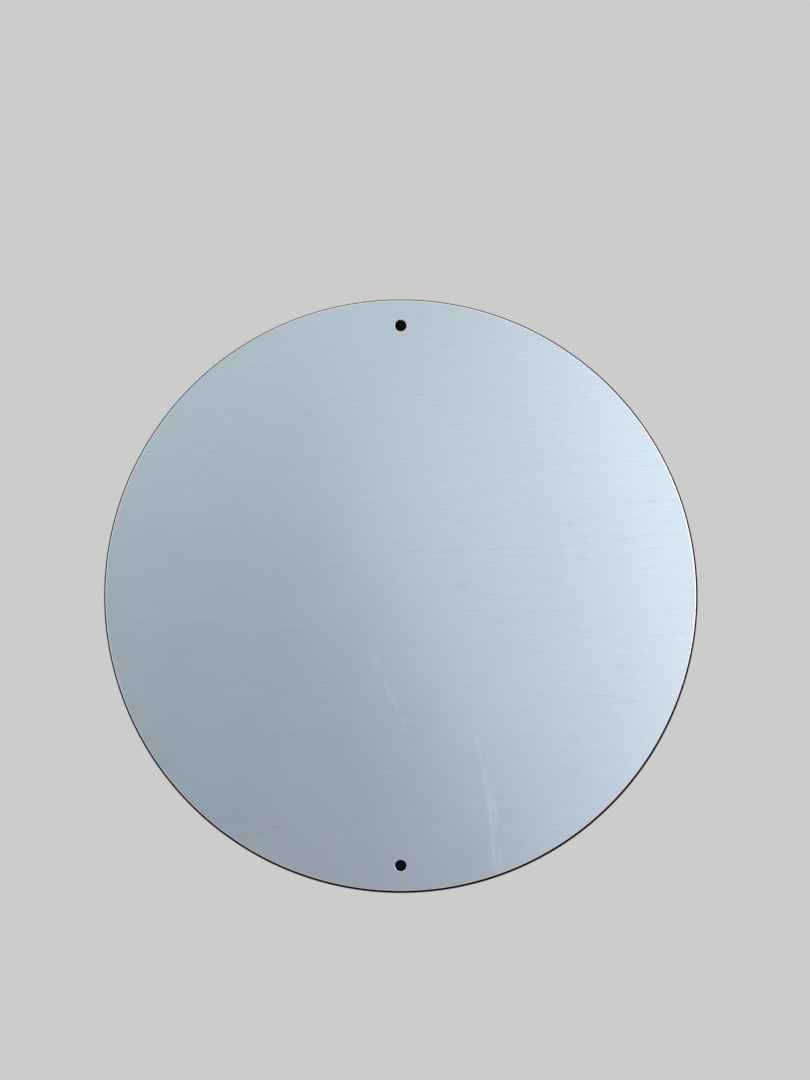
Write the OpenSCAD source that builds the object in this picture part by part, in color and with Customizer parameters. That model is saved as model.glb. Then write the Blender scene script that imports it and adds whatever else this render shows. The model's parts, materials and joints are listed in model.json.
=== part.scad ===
// Round metal sign plate: one flat disc blanked from brushed aluminium sheet,
// with a fixing hole pierced near its top and another near its bottom.
//
// Millimetres. The plate hangs upright, with +Z up and its front towards -Y.
// The origin is the centre of its back face, midway between the two holes.

/* [Plate] */
// Diameter of the plate
plate_d = 304.8; // [150:0.1:600]
// Thickness of the sheet
sheet_t = 1; // [1:0.1:3]

/* [Fixing holes] */
// Diameter of a fixing hole, across its straight land
hole_d = 6; // [4:0.1:12]
// From the plate's rim to the centre of a fixing hole
hole_inset = 13; // [10:0.1:30]

/* [Cut edges] */
// Radius to which the shear rolls the front of a cut edge over
roll_r = 0.3; // [0.1:0.05:0.35]
// Depth of the straight, burnished land behind the roll
land_depth = 0.4; // [0.2:0.05:0.4]
// How far the torn back of a cut edge falls away from the land
tear_back = 0.06; // [0.02:0.01:0.15]
// Width of the chamfer that deburring leaves at the back
deburr_w = 0.12; // [0.05:0.01:0.2]

/* [Hidden] */

plate_r = plate_d / 2;
hole_r = hole_d / 2;
// Distance between the centres of the two holes
hole_pitch = plate_d - 2 * hole_inset;
// Front and back ends of the land, measured from the back face
land_front = sheet_t - roll_r;
land_back = land_front - land_depth;
// How far a piercing cutter passes the faces that it opens
cutter_pass = 1;
// Facets on the rim, on a hole and on the small roll of an edge
rim_fn = 360;
hole_fn = 96;
roll_fn = 48;

// Section of the metal beside a cut edge. X runs from the land into the
// metal, as far as metal_w, and Y runs from the back face to the front face.
module cut_edge_section(metal_w) {
  polygon([
    [roll_r, sheet_t],
    [0, land_front],
    [0, land_back],
    [tear_back, deburr_w],
    [tear_back + deburr_w, 0],
    [metal_w, 0],
    [metal_w, sheet_t],
  ]);
  translate([roll_r, land_front]) circle(r = roll_r, $fn = roll_fn);
}

// The blanked disc, lying on its back with its front towards +Z.
module blank() {
  rotate_extrude($fn = rim_fn)
    translate([plate_r, 0])
      mirror([1, 0])
        cut_edge_section(metal_w = plate_r);
}

// What the punch takes out of one hole, on the Z axis: the roll opens the
// mouth at the front, and the tear and the chamfer open it at the back.
module pierced_hole() {
  mouth_r = hole_r + roll_r;
  rotate_extrude($fn = hole_fn)
    difference() {
      translate([0, -cutter_pass])
        square([mouth_r, sheet_t + 2 * cutter_pass]);
      translate([hole_r, 0]) cut_edge_section(metal_w = hole_d);
    }
}

// The plate, stood up so that its front faces -Y.
module sign_plate() {
  color("#afbecd")
    rotate([90, 0, 0])
      difference() {
        blank();
        for (side = [-1, 1])
          translate([0, side * hole_pitch / 2, 0]) pierced_hole();
      }
}

sign_plate();
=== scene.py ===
"""A round sign plate of brushed aluminium, fixed to a pale wall and seen straight on.

Metres, +Z up. The plate's front faces -Y and its back lies in the plane Y = 0.
"""

import json
import math

import bmesh
import bpy
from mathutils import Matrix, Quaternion, Vector


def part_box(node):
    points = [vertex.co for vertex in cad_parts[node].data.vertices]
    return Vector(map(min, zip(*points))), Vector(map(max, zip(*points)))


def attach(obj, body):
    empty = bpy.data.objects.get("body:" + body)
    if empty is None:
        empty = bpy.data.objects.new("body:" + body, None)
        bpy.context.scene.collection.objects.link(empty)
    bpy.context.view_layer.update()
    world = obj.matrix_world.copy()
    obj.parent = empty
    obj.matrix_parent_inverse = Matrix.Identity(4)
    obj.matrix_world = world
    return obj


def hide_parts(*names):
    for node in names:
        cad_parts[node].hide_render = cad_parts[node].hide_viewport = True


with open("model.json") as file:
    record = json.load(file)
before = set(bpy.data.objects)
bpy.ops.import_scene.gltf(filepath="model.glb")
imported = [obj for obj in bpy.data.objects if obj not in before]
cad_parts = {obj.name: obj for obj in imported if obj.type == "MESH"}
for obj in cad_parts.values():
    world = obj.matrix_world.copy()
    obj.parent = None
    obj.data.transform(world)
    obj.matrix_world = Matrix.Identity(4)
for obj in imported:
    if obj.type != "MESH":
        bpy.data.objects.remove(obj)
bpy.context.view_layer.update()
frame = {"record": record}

# The plate and its holes, as the frame gives them
PLATE_LOW, PLATE_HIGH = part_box("sign_plate")
PLATE_R = (PLATE_HIGH.x - PLATE_LOW.x) / 2
FRONT_Y, BACK_Y = PLATE_LOW.y, PLATE_HIGH.y
SHEET_T = BACK_Y - FRONT_Y
HOLE_DIMS = next(
    mount["dims"] for mount in frame["record"]["mounts"] if mount["name"] == "fixing_holes"
)
HOLE_R = HOLE_DIMS["hole_r_mm"] / 1000
HOLE_Z = HOLE_DIMS["spacing_y_mm"] / 2000

# Form of a cut edge: the roll at its front, the land, the tear and the deburred back
ROLL_R = 0.0003
LAND_DEPTH = 0.0004
TEAR_BACK = 0.00006
DEBURR_W = 0.00012
ROLL_STEPS = 6
# Metal that is modelled together with a cut edge, beside it
EDGE_MARGIN = 0.004
RIM_STEPS = 288
HOLE_STEPS = 72
# How far along Y the normal of a face points, at least, where it belongs to the front or back
SQUARE_ON = 0.999

# Where the photograph shows the plate, in pixels of its frame, numbered from 0 at their centres
PHOTO_W, PHOTO_H = 810, 1080
PLATE_PX = (400.2, 595.1)
PLATE_D_PX = 590.6
PX = 2 * PLATE_R / PLATE_D_PX

# The map that lays out the surface: its name, the middles of the front and back, and their size
MAP_NAME = "OFBake"
MAP_FRONT, MAP_BACK = (0.295, 0.295), (0.705, 0.705)
MAP_DISC_R = 0.285
MAP_SCALE = MAP_DISC_R / (PLATE_R + SHEET_T)


def on_plate(px, py):
    """The point of the plate's front that the photograph shows at this pixel."""
    return Vector(((px - PLATE_PX[0]) * PX, FRONT_Y, (PLATE_PX[1] - py) * PX))


# Modelling

def select(kind, wanted):
    """In edit mode, selects only those of the verts, edges or faces that are wanted."""
    bpy.ops.mesh.select_mode(type={"verts": "VERT", "edges": "EDGE", "faces": "FACE"}[kind])
    bpy.ops.mesh.select_all(action="DESELECT")
    mesh = bmesh.from_edit_mesh(bpy.context.object.data)
    for element in getattr(mesh, kind):
        if wanted(element):
            element.select_set(True)
    mesh.select_flush_mode()
    bmesh.update_edit_mesh(bpy.context.object.data)


def near(a, b):
    """Whether two lengths are the same, to a micrometre."""
    return abs(a - b) < 1e-6


def edge_middle(edge):
    return (edge.verts[0].co + edge.verts[1].co) / 2


def cut_edge_section(cut_r, metal_side):
    """The section of the metal beside a cut edge: X is the radius, Y the depth.

    metal_side is -1 for the rim, whose metal lies inside it, and 1 for a hole.
    """
    bpy.ops.object.select_all(action="DESELECT")
    bpy.ops.mesh.primitive_plane_add(
        size=1, location=(cut_r + metal_side * EDGE_MARGIN / 2, (FRONT_Y + BACK_Y) / 2, 0)
    )
    bpy.context.object.scale = (EDGE_MARGIN, SHEET_T, 1)
    bpy.ops.object.transform_apply(location=True, rotation=True, scale=True)
    bpy.ops.object.mode_set(mode="EDIT")

    select("verts", lambda v: near(v.co.x, cut_r) and near(v.co.y, FRONT_Y))
    bpy.ops.mesh.bevel(
        affect="VERTICES", offset=ROLL_R, segments=ROLL_STEPS, profile=0.5, clamp_overlap=False
    )
    select("verts", lambda v: near(v.co.x, cut_r) and near(v.co.y, BACK_Y))
    bpy.ops.mesh.bevel(affect="VERTICES", offset=DEBURR_W, segments=1, clamp_overlap=False)

    # Only the line of the surface is kept, without the side that runs on into the metal
    select("faces", lambda f: True)
    bpy.ops.mesh.delete(type="ONLY_FACE")
    metal_end = cut_r + metal_side * EDGE_MARGIN
    select("edges", lambda e: near(edge_middle(e).x, metal_end))
    bpy.ops.mesh.delete(type="EDGE")

    # The land ends partway down the wall, and what lies behind it is torn back
    bpy.ops.mesh.select_all(action="SELECT")
    bpy.ops.mesh.bisect(
        plane_co=(0, FRONT_Y + ROLL_R + LAND_DEPTH, 0), plane_no=(0, 1, 0), use_fill=False
    )
    select("verts", lambda v: v.co.y > BACK_Y - 1.01 * DEBURR_W and not near(v.co.x, metal_end))
    bpy.ops.transform.translate(value=(metal_side * TEAR_BACK, 0, 0))


def cut_edge_ring(cut_r, metal_side, centre_z, steps):
    """A cut edge and the metal beside it, all the way round a hole or the rim."""
    cut_edge_section(cut_r, metal_side)
    bpy.ops.mesh.select_all(action="SELECT")
    bpy.ops.mesh.spin(
        steps=steps, angle=2 * math.pi, center=(0, 0, 0), axis=(0, 1, 0), use_auto_merge=True
    )
    bpy.ops.mesh.select_all(action="SELECT")
    bpy.ops.mesh.remove_doubles(threshold=1e-6)
    bpy.ops.transform.translate(value=(0, 0, centre_z))
    bpy.ops.object.mode_set(mode="OBJECT")
    bpy.ops.object.transform_apply(location=True, rotation=True, scale=True)
    return bpy.context.object


def fill_face(face_y):
    """In edit mode, fills the flat face between the open ends of the rings."""
    select("edges", lambda e: e.is_boundary and near(edge_middle(e).y, face_y))
    bpy.ops.mesh.fill(use_beauty=True)


def blanked_plate():
    """The plate's mesh: the rings of its rim and holes, joined by the two flat faces."""
    rings = [cut_edge_ring(PLATE_R, -1, 0, RIM_STEPS)]
    for centre_z in (HOLE_Z, -HOLE_Z):
        rings.append(cut_edge_ring(HOLE_R, 1, centre_z, HOLE_STEPS))
    bpy.ops.object.select_all(action="DESELECT")
    for ring in rings:
        ring.select_set(True)
    bpy.context.view_layer.objects.active = rings[0]
    bpy.ops.object.join()
    plate = bpy.context.object
    plate.name = plate.data.name = "brushed_sign_plate"
    bpy.ops.object.mode_set(mode="EDIT")
    fill_face(FRONT_Y)
    fill_face(BACK_Y)
    bpy.ops.mesh.select_all(action="SELECT")
    bpy.ops.mesh.normals_make_consistent(inside=False)
    bpy.ops.object.mode_set(mode="OBJECT")
    return plate


def lay_out_surface(plate):
    """The plate's map: its front and back, each as seen from its own side, U running level.

    The cut edges are laid out with the front, as if bent flat: outwards from the rim
    and inwards from a hole.
    """
    layer = plate.data.uv_layers.new(name=MAP_NAME)
    for face in plate.data.polygons:
        on_back = face.normal.y > SQUARE_ON
        hole_z = math.copysign(HOLE_Z, face.center.z)
        in_hole = math.hypot(face.center.x, face.center.z - hole_z) < HOLE_R + EDGE_MARGIN / 2
        middle = Vector((0, 0, hole_z if in_hole else 0))
        for corner in face.loop_indices:
            place = plate.data.vertices[plate.data.loops[corner].vertex_index].co
            spread = Vector((place.x, 0, place.z)) - middle
            depth = 0 if on_back else place.y - FRONT_Y
            spread += spread.normalized() * (-depth if in_hole else depth)
            x, z = (middle + spread).x, (middle + spread).z
            centre = MAP_BACK if on_back else MAP_FRONT
            side = -1 if on_back else 1
            layer.data[corner].uv = (centre[0] + side * x * MAP_SCALE, centre[1] + z * MAP_SCALE)
    for old in [old for old in plate.data.uv_layers if old.name != MAP_NAME]:
        plate.data.uv_layers.remove(old)


def dress(plate, front, back, rim, holes):
    """Gives the faces, the rim and the holes their finishes, and smooths the rolls."""
    for finish in (front, back, rim, holes):
        plate.data.materials.append(finish)
    for face in plate.data.polygons:
        if face.normal.y < -SQUARE_ON:
            face.material_index = 0
        elif face.normal.y > SQUARE_ON:
            face.material_index = 1
        elif face.center.length > PLATE_R - EDGE_MARGIN:
            face.material_index = 2
        else:
            face.material_index = 3
    bpy.ops.object.select_all(action="DESELECT")
    plate.select_set(True)
    bpy.context.view_layer.objects.active = plate
    bpy.ops.object.shade_smooth_by_angle(angle=math.radians(30))
    keep_flat = plate.modifiers.new("flat faces stay flat", "WEIGHTED_NORMAL")
    keep_flat.keep_sharp = True
    keep_flat.weight = 100
    bpy.ops.object.modifier_apply(modifier=keep_flat.name)


# Building shader nodes

def feed(tree, socket, value):
    """Links value to socket if it is a socket, and writes it there if it is a constant."""
    if isinstance(value, bpy.types.NodeSocket):
        tree.links.new(value, socket)
    else:
        socket.default_value = value


def calc(tree, operation, *values):
    """The result of a Math node."""
    made = tree.nodes.new("ShaderNodeMath")
    made.operation = operation
    for socket, value in zip(made.inputs, values):
        feed(tree, socket, value)
    return made.outputs[0]


def vector_calc(tree, operation, *values):
    """The result of a Vector Math node: a number for a length or a dot product."""
    made = tree.nodes.new("ShaderNodeVectorMath")
    made.operation = operation
    for socket, value in zip(made.inputs, values):
        feed(tree, socket, value)
    return made.outputs["Value" if operation in ("LENGTH", "DOT_PRODUCT") else "Vector"]


def xyz(tree, x, y, z):
    made = tree.nodes.new("ShaderNodeCombineXYZ")
    for socket, value in zip(made.inputs, (x, y, z)):
        feed(tree, socket, value)
    return made.outputs[0]


def noise(tree, position, detail, roughness):
    made = tree.nodes.new("ShaderNodeTexNoise")
    made.inputs["Scale"].default_value = 1
    made.inputs["Detail"].default_value = detail
    made.inputs["Roughness"].default_value = roughness
    feed(tree, made.inputs["Vector"], position)
    return made.outputs["Fac"]


def fit(tree, value, low, high, new_low, new_high, curve="LINEAR"):
    """value, which runs from low to high, made to run from new_low to new_high."""
    made = tree.nodes.new("ShaderNodeMapRange")
    made.interpolation_type = curve
    for name, given in (
        ("Value", value), ("From Min", low), ("From Max", high),
        ("To Min", new_low), ("To Max", new_high),
    ):
        feed(tree, made.inputs[name], given)
    return made.outputs["Result"]


def varied(tree, middle, *terms):
    """middle, moved by terms that are (value from 0 to 1, the width of its effect)."""
    total = middle - sum(width for value, width in terms) / 2
    for value, width in terms:
        total = calc(tree, "ADD", calc(tree, "MULTIPLY", value, width), total)
    return total


def only_where(tree, mask, value):
    """value where the mask is 1, and 0.5 where it is 0."""
    swing = calc(tree, "MULTIPLY", calc(tree, "SUBTRACT", value, 0.5), mask)
    return calc(tree, "ADD", swing, 0.5)


def blend_colours(tree, share, first, second):
    made = tree.nodes.new("ShaderNodeMix")
    made.data_type = "RGBA"
    feed(tree, made.inputs["Factor"], share)
    feed(tree, made.inputs["A"], (*first, 1) if isinstance(first, tuple) else first)
    feed(tree, made.inputs["B"], (*second, 1) if isinstance(second, tuple) else second)
    return made.outputs["Result"]


def new_group(name, inputs, outputs):
    """An empty node group. Returns it, the sockets that come in and those that go out."""
    group = bpy.data.node_groups.new(name, "ShaderNodeTree")
    for label, kind in inputs.items():
        group.interface.new_socket(name=label, in_out="INPUT", socket_type="NodeSocket" + kind)
    for label, kind in outputs.items():
        group.interface.new_socket(name=label, in_out="OUTPUT", socket_type="NodeSocket" + kind)
    come_in = group.nodes.new("NodeGroupInput").outputs
    go_out = group.nodes.new("NodeGroupOutput").inputs
    return group, come_in, go_out


def place_group(tree, group, **values):
    """Places a group in a material with its own values; a name's underscores stand for spaces."""
    made = tree.nodes.new("ShaderNodeGroup")
    made.node_tree = group
    for name, value in values.items():
        feed(tree, made.inputs[name.replace("_", " ").capitalize()], value)
    return made.outputs[0]


# Effects that several finishes share

def straight_lines_group():
    """Straight parallel scratches along X, such as brushing leaves, from 0 to 1."""
    group, come_in, go_out = new_group(
        "straight_lines",
        {"Position": "Vector", "Pitch": "Float", "Length": "Float", "Seed": "Float"},
        {"Lines": "Float"},
    )
    # Long ruled lines, each of which shows only here and there
    ruled = noise(group, stretched(group, come_in, 5, 1, 0.37), 2, 0.6)
    shown = noise(group, stretched(group, come_in, 1, 2.5, 40.61), 1, 0.5)
    shown = fit(group, shown, 0.52, 0.62, 0, 1)
    lines = only_where(group, shown, fit(group, ruled, 0.32, 0.68, 0, 1))
    group.links.new(lines, go_out["Lines"])
    return group


def stretched(group, come_in, along, across, seed):
    """Position in lengths and pitches, each of them so many times longer."""
    size = xyz(
        group, calc(group, "MULTIPLY", come_in["Length"], along), 1,
        calc(group, "MULTIPLY", come_in["Pitch"], across),
    )
    moved = xyz(group, 0.43, calc(group, "ADD", come_in["Seed"], seed), 0.19)
    return vector_calc(group, "ADD", vector_calc(group, "DIVIDE", come_in["Position"], size), moved)


def cloud_group():
    """Soft uneven patches, from 0 to 1."""
    group, come_in, go_out = new_group(
        "soft_clouds",
        {"Position": "Vector", "Size": "Float", "Seed": "Float"},
        {"Cloud": "Float"},
    )
    size = xyz(group, come_in["Size"], come_in["Size"], come_in["Size"])
    shrunk = vector_calc(group, "DIVIDE", come_in["Position"], size)
    moved = vector_calc(group, "ADD", shrunk, xyz(group, 0.31, come_in["Seed"], 0.57))
    cloud = fit(group, noise(group, moved, 3, 0.5), 0.28, 0.72, 0, 1)
    group.links.new(cloud, go_out["Cloud"])
    return group


def scuff_group():
    """A rubbed mark along the straight way from one point to another, 1 in its middle."""
    group, come_in, go_out = new_group(
        "rubbed_mark",
        {"Position": "Vector", "From": "Vector", "To": "Vector", "Width": "Float"},
        {"Mark": "Float"},
    )
    along = vector_calc(group, "SUBTRACT", come_in["To"], come_in["From"])
    away = vector_calc(group, "SUBTRACT", come_in["Position"], come_in["From"])
    way = calc(
        group, "DIVIDE",
        vector_calc(group, "DOT_PRODUCT", away, along),
        vector_calc(group, "DOT_PRODUCT", along, along),
    )
    way = fit(group, way, 0, 1, 0, 1)
    nearest = vector_calc(group, "MULTIPLY", along, xyz(group, way, way, way))
    gap = vector_calc(group, "LENGTH", vector_calc(group, "SUBTRACT", away, nearest))
    # The mark frays: its width wanders along the way, and it thins out towards both ends
    position = vector_calc(group, "MULTIPLY", come_in["Position"], (350, 350, 140))
    fray = fit(group, noise(group, position, 3, 0.7), 0.3, 0.7, 0.75, 1.35)
    ends = calc(group, "MULTIPLY", calc(group, "SUBTRACT", 1, way), way)
    width = calc(group, "MULTIPLY", come_in["Width"], fray)
    width = calc(group, "MULTIPLY", width, fit(group, ends, 0, 0.1, 0.35, 1))
    mark = fit(group, calc(group, "DIVIDE", gap, width), 0, 1, 1, 0, "SMOOTHSTEP")
    group.links.new(mark, go_out["Mark"])
    return group


# Finishes

ALUMINIUM = (0.43, 0.515, 0.61)
# Marks that the photograph shows on the front: both ends in its pixels, the width in metres,
# and how plainly each shows
SCUFFS = (
    ((375, 655), (378, 670), 0.0019, 0.28),
    ((384, 679), (390, 695), 0.0020, 0.36),
    ((390, 695), (397, 709), 0.0018, 0.35),
    ((400, 714), (405, 732), 0.0020, 0.28),
    ((476, 735), (478, 745), 0.0028, 0.6),
    ((478, 742), (479, 758), 0.0022, 0.4),
    ((484, 768), (486, 776), 0.0022, 0.55),
    ((484, 777), (487, 797), 0.0020, 0.65),
    ((493, 786), (490, 798), 0.0018, 0.2),
    ((487, 795), (491, 812), 0.0023, 0.8),
    ((491, 798), (496, 814), 0.0019, 0.75),
    ((490, 808), (491, 824), 0.0022, 0.75),
    ((495, 812), (501, 824), 0.0018, 0.5),
    ((501, 823), (506, 834), 0.0017, 0.35),
    ((495, 816), (494, 838), 0.0019, 0.5),
    ((491, 820), (493, 847), 0.0022, 0.55),
    ((493, 843), (494, 865), 0.0018, 0.65),
    ((494, 861), (497, 875), 0.0018, 0.4),
    ((499, 846), (500, 874), 0.0024, 0.4),
    ((229, 748), (227, 782), 0.0018, 0.15),
    ((277, 840), (274, 848), 0.0016, 0.2),
    ((468, 740), (462, 752), 0.0026, 0.1),
)


def darker(colour, share):
    return tuple(part * (1 - share) for part in colour)


def lighter(colour, share):
    return tuple(part + (1 - part) * share for part in colour)


def new_metal(name, anisotropy):
    """A metal with nothing linked yet. Returns it, its tree, its shader and Object coordinates."""
    metal = bpy.data.materials.new(name)
    metal.use_nodes = True
    tree = metal.node_tree
    shader = tree.nodes["Principled BSDF"]
    shader.inputs["Metallic"].default_value = 1
    shader.inputs["Anisotropic"].default_value = anisotropy
    shader.inputs["Anisotropic Rotation"].default_value = 0.25
    if anisotropy:
        tangent = tree.nodes.new("ShaderNodeTangent")
        tangent.direction_type = "UV_MAP"
        tangent.uv_map = MAP_NAME
        tree.links.new(tangent.outputs["Tangent"], shader.inputs["Tangent"])
    position = tree.nodes.new("ShaderNodeTexCoord").outputs["Object"]
    return metal, tree, shader, position


def bump(tree, height, depth, after=None):
    """The surface's normal, bumped by a height from 0 to 1 that stands for depth metres."""
    made = tree.nodes.new("ShaderNodeBump")
    made.inputs["Distance"].default_value = depth
    tree.links.new(height, made.inputs["Height"])
    if after:
        tree.links.new(after, made.inputs["Normal"])
    return made.outputs["Normal"]


def brushed_front(lines, clouds, scuff):
    """The front: brushed in straight level lines, with a few faint rubbed marks."""
    metal, tree, shader, position = new_metal("brushed_front", 0.75)
    fine = place_group(tree, lines, position=position, pitch=0.0004, length=0.006, seed=1.6)
    coarse = place_group(tree, lines, position=position, pitch=0.0008, length=0.008, seed=5.3)
    bands = place_group(tree, lines, position=position, pitch=0.006, length=0.2, seed=9.2)
    # Longer scratches of the brush come in patches
    patches = place_group(tree, clouds, position=position, size=0.022, seed=12.4)
    patches = fit(tree, patches, 0, 1, 0.35, 1)
    # The grain grows stronger towards the right, in colour, roughness and bump. In the colour this
    # is a
    # painted highlight: the grain shows more where the plate is lit brightest
    right = vector_calc(tree, "DOT_PRODUCT", position, (1, 0, 0))
    grain_stronger_to_right = fit(tree, right, 0, 0.6 * PLATE_R, 0.7, 1)
    fine = only_where(tree, grain_stronger_to_right, fine)
    streaks = only_where(tree, calc(tree, "MULTIPLY", patches, grain_stronger_to_right), coarse)
    haze = place_group(tree, clouds, position=position, size=0.03, seed=2.3)
    sag = place_group(tree, clouds, position=position, size=0.16, seed=7.6)
    marks = None
    for start, end, width, strength in SCUFFS:
        given = {"from": on_plate(*start), "to": on_plate(*end)}
        mark = place_group(tree, scuff, position=position, width=width, **given)
        mark = calc(tree, "MULTIPLY", mark, strength)
        marks = mark if marks is None else calc(tree, "MAXIMUM", marks, mark)

    tone = varied(tree, 0.5, (fine, 0.45), (streaks, 0.8), (bands, 0.05), (haze, 0.12))
    colour = blend_colours(tree, tone, darker(ALUMINIUM, 0.1), lighter(ALUMINIUM, 0.1))
    colour = blend_colours(tree, marks, colour, lighter(ALUMINIUM, 0.12))
    feed(tree, shader.inputs["Base Color"], colour)
    rough = varied(tree, 0.238, (fine, -0.01), (streaks, -0.02), (haze, 0.01))
    rough = calc(tree, "ADD", rough, calc(tree, "MULTIPLY", marks, 0.05))
    feed(tree, shader.inputs["Roughness"], rough)
    flat = bump(tree, sag, 0.00006)
    feed(tree, shader.inputs["Normal"], bump(tree, fine, 0.0000008, after=flat))
    return metal


def mill_back(lines, clouds):
    """The back, as the sheet comes from the mill: duller, with soft rolling lines."""
    metal, tree, shader, position = new_metal("mill_back", 0.35)
    rolling = place_group(tree, lines, position=position, pitch=0.0014, length=0.25, seed=21.0)
    faint = place_group(tree, lines, position=position, pitch=0.0004, length=0.06, seed=25.0)
    haze = place_group(tree, clouds, position=position, size=0.035, seed=22.0)
    sag = place_group(tree, clouds, position=position, size=0.16, seed=27.0)
    tone = varied(tree, 0.5, (rolling, 0.9), (faint, 0.4), (haze, 0.3))
    grey = darker(ALUMINIUM, 0.04)
    colour = blend_colours(tree, tone, darker(grey, 0.12), lighter(grey, 0.1))
    feed(tree, shader.inputs["Base Color"], colour)
    rough = varied(tree, 0.40, (rolling, 0.06), (haze, 0.06))
    feed(tree, shader.inputs["Roughness"], rough)
    flat = bump(tree, sag, 0.00006)
    feed(tree, shader.inputs["Normal"], bump(tree, rolling, 0.000003, after=flat))
    return metal


def sheared_edge(name, brightness, clouds):
    """A cut edge: a roll lighter in colour, a land that the punch burnished, and a dull torn back.

    brightness is how far the roll goes from the sheet's own colour to white; the land goes a third
    as far.
    This lighter colour is partly burnished metal and partly a painted glint.
    """
    metal, tree, shader, position = new_metal(name, 0)
    grain = place_group(tree, clouds, position=position, size=0.0006, seed=31.0)
    wear = place_group(tree, clouds, position=position, size=0.008, seed=33.0)
    depth = vector_calc(tree, "DOT_PRODUCT", position, (0, 1, 0))
    land_front = FRONT_Y + ROLL_R
    land_back = land_front + LAND_DEPTH
    on_land = fit(tree, depth, land_front - ROLL_R / 2, land_front, 0, 1)
    torn = fit(tree, depth, land_back, land_back + TEAR_BACK, 0, 1)

    # The roll and the land are lighter than the sheet: partly burnished metal, partly a painted
    # glint
    roll_colour, land_colour = lighter(ALUMINIUM, brightness), lighter(ALUMINIUM, brightness / 3)
    colour = blend_colours(tree, on_land, roll_colour, land_colour)
    colour = blend_colours(tree, torn, colour, darker(ALUMINIUM, 0.3))
    shade = varied(tree, 0.94, (grain, 0.05), (wear, 0.06))
    colour = vector_calc(tree, "MULTIPLY", colour, xyz(tree, shade, shade, shade))
    feed(tree, shader.inputs["Base Color"], colour)
    rough = varied(tree, 0.28, (grain, 0.08), (wear, 0.06))
    rough = calc(tree, "ADD", rough, calc(tree, "MULTIPLY", torn, 0.2))
    feed(tree, shader.inputs["Roughness"], rough)
    feed(tree, shader.inputs["Normal"], bump(tree, grain, 0.000002))
    return metal


# The stage

PALE = 0.604
# The wall, and the gap between it and the plate
WALL_GAP = 0.0003
WALL_Y = BACK_Y + WALL_GAP
WALL_SIZE = 5
# The plate's shadow, painted on the wall: how far it falls aside and down, and where its soft edge
# begins and ends, beyond the plate's radius
SHADOW_FALL = (0.0001, 0, -0.0004)
SHADOW_EDGE = (0.0006, 0.0012)
SHADOW_COLOUR = (0.005, 0.004, 0.004)
FLOOR_Z = -0.42
FLOOR_SIZE = 30
FLOOR_GREY = 0.62
# From how far out the floor starts to fade into the distance, and where it has gone
FLOOR_FADE = (0.3, 1.6)


def stage_plane(name, size, location, rotation, material):
    bpy.ops.object.select_all(action="DESELECT")
    bpy.ops.mesh.primitive_plane_add(size=size, location=location, rotation=rotation)
    plane = bpy.context.object
    plane.name = name
    bpy.ops.object.transform_apply(location=True, rotation=True, scale=True)
    plane.data.materials.append(material)
    return plane


def wall_paint():
    """A pale wall, seen only from in front, with a painted shadow under the plate and close beside
    it.
    """
    paint = bpy.data.materials.new("wall_paint")
    paint.use_nodes = True
    tree = paint.node_tree
    tree.nodes.clear()
    position = tree.nodes.new("ShaderNodeTexCoord").outputs["Object"]
    # Painted shadow: the wall is dark where the plate would shade it, also behind the holes
    shadow_middle = Vector((0, WALL_Y, 0)) + Vector(SHADOW_FALL)
    away = vector_calc(tree, "SUBTRACT", position, shadow_middle)
    past_rim = calc(tree, "SUBTRACT", vector_calc(tree, "LENGTH", away), PLATE_R)
    light = fit(tree, past_rim, *SHADOW_EDGE, 0, 1, "SMOOTHSTEP")
    light = calc(tree, "POWER", light, 2)
    glow = tree.nodes.new("ShaderNodeEmission")
    feed(tree, glow.inputs["Color"], blend_colours(tree, light, SHADOW_COLOUR, (PALE, PALE, PALE)))
    clear = tree.nodes.new("ShaderNodeBsdfTransparent")
    sides = tree.nodes.new("ShaderNodeMixShader")
    behind = tree.nodes.new("ShaderNodeNewGeometry").outputs["Backfacing"]
    tree.links.new(behind, sides.inputs[0])
    tree.links.new(glow.outputs[0], sides.inputs[1])
    tree.links.new(clear.outputs[0], sides.inputs[2])
    tree.links.new(sides.outputs[0], tree.nodes.new("ShaderNodeOutputMaterial").inputs["Surface"])
    return paint


def floor_paint():
    """A pale floor that takes the plate's shadow, and runs out into the pale distance."""
    paint = bpy.data.materials.new("floor_paint")
    paint.use_nodes = True
    tree = paint.node_tree
    tree.nodes.clear()
    matt = tree.nodes.new("ShaderNodeBsdfDiffuse")
    matt.inputs["Color"].default_value = (FLOOR_GREY, FLOOR_GREY, FLOOR_GREY, 1)
    glow = tree.nodes.new("ShaderNodeEmission")
    glow.inputs["Color"].default_value = (PALE, PALE, PALE, 1)
    position = tree.nodes.new("ShaderNodeTexCoord").outputs["Object"]
    reach = vector_calc(tree, "LENGTH", vector_calc(tree, "SUBTRACT", position, (0, 0, FLOOR_Z)))
    far = fit(tree, reach, *FLOOR_FADE, 0.5, 1, "SMOOTHSTEP")
    mixed = tree.nodes.new("ShaderNodeMixShader")
    tree.links.new(far, mixed.inputs[0])
    tree.links.new(matt.outputs[0], mixed.inputs[1])
    tree.links.new(glow.outputs[0], mixed.inputs[2])
    tree.links.new(mixed.outputs[0], tree.nodes.new("ShaderNodeOutputMaterial").inputs["Surface"])
    return paint


def build_stage():
    wall_middle = (0, WALL_Y, FLOOR_Z + WALL_SIZE / 2)
    wall = stage_plane("wall", WALL_SIZE, wall_middle, (math.pi / 2, 0, 0), wall_paint())
    wall.visible_diffuse = wall.visible_glossy = False
    wall.visible_transmission = wall.visible_shadow = False
    floor = stage_plane("floor", FLOOR_SIZE, (0, 0, FLOOR_Z), (0, 0, 0), floor_paint())
    floor.visible_glossy = floor.visible_shadow = False


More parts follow.
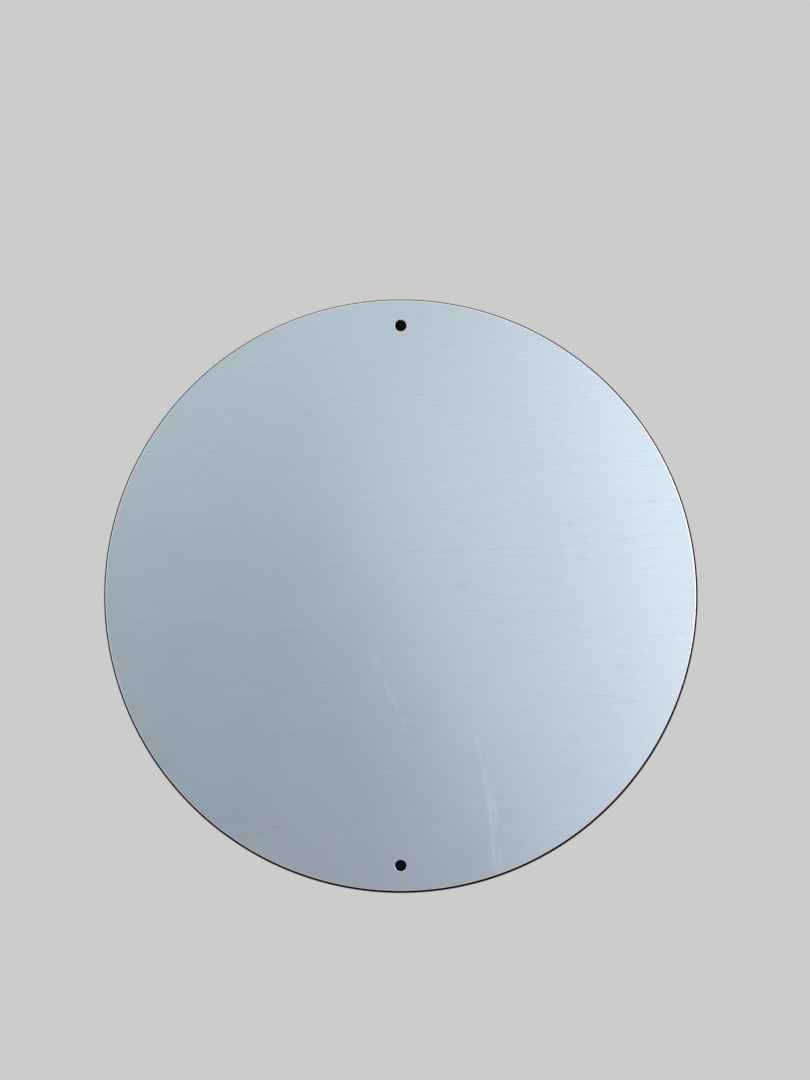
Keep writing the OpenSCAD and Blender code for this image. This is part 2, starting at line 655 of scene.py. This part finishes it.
def pale_world():
    """An even pale room, which the camera and the metal both see."""
    world = bpy.data.worlds.new("pale_room")
    bpy.context.scene.world = world
    world.use_nodes = True
    tree = world.node_tree
    rays = tree.nodes.new("ShaderNodeLightPath").outputs
    seen = calc(tree, "ADD", rays["Is Camera Ray"], rays["Is Glossy Ray"])
    seen = fit(tree, calc(tree, "ADD", seen, rays["Is Transmission Ray"]), 0, 1, 0, 1)
    colour = blend_colours(tree, seen, (0.5, 0.5, 0.5), (PALE, PALE, PALE))
    feed(tree, tree.nodes["Background"].inputs["Color"], colour)


def softbox(name, place, size, turn, glow, colour):
    """A soft lamp that points at the plate, turned about its own axis.

    glow is how bright its face looks, where 1 is white.
    """
    bpy.ops.object.light_add(type="AREA", location=place)
    lamp = bpy.context.object
    lamp.name = name
    aim = (-Vector(place)).to_track_quat("-Z", "Y") @ Quaternion((0, 0, 1), turn)
    lamp.rotation_euler = aim.to_euler()
    lamp.data.shape = "RECTANGLE"
    lamp.data.size, lamp.data.size_y = size
    lamp.data.energy = math.pi * size[0] * size[1] * glow
    lamp.data.color = colour


def light_the_plate():
    softbox("key", (0.998, -1.2, 0.58), (2.0, 2.0), 0, 0.687, (1, 1.038, 0.868))
    softbox("low_key", (0.399, -1.5, -0.209), (0.614, 1.148), 0.577, 0.577, (1, 0.991, 0.99))
    softbox("fill", (-0.342, -2.794, 0.758), (1.449, 1.218), 0.311, 0.521, (1, 1.05, 0.9))
    softbox("left", (-1.5, -1.2, 0.1), (1.2, 1.7), 0, 0.98, (1, 1.01, 1.01))
    softbox("right_edge", (1.8, -0.3, 0.3), (1.2, 1.8), 0, 3.5, (1, 1, 1))
    softbox("above", (0, -0.5, 1.8), (2.0, 1.0), 0, 1.3, (1, 1, 1))
    softbox("behind", (1.3, 1.3, 0.3), (0.9, 1.4), 0, 0.7, (1, 1, 1))


def straight_camera():
    """A camera square to the plate, which frames it as the photograph does."""
    data = bpy.data.cameras.new("camera")
    camera = bpy.data.objects.new("camera", data)
    bpy.context.scene.collection.objects.link(camera)
    data.sensor_width, data.lens = 36, 60
    # The sensor's width spans the taller side of the frame
    distance = PHOTO_H * PX * data.lens / data.sensor_width
    across = ((PHOTO_W - 1) / 2 - PLATE_PX[0]) * PX
    up = (PLATE_PX[1] - (PHOTO_H - 1) / 2) * PX
    camera.location = (across, FRONT_Y - distance, up)
    camera.rotation_euler = (math.pi / 2, 0, 0)
    bpy.context.scene.camera = camera


def main():
    lines, clouds, scuff = straight_lines_group(), cloud_group(), scuff_group()
    plate = blanked_plate()
    lay_out_surface(plate)
    dress(
        plate, brushed_front(lines, clouds, scuff), mill_back(lines, clouds),
        sheared_edge("rim_edge", 0.85, clouds), sheared_edge("hole_edge", 0.1, clouds),
    )
    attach(plate, "root")
    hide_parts("sign_plate")
    build_stage()
    pale_world()
    light_the_plate()
    straight_camera()
    bpy.context.scene.view_settings.view_transform = "Standard"


main()
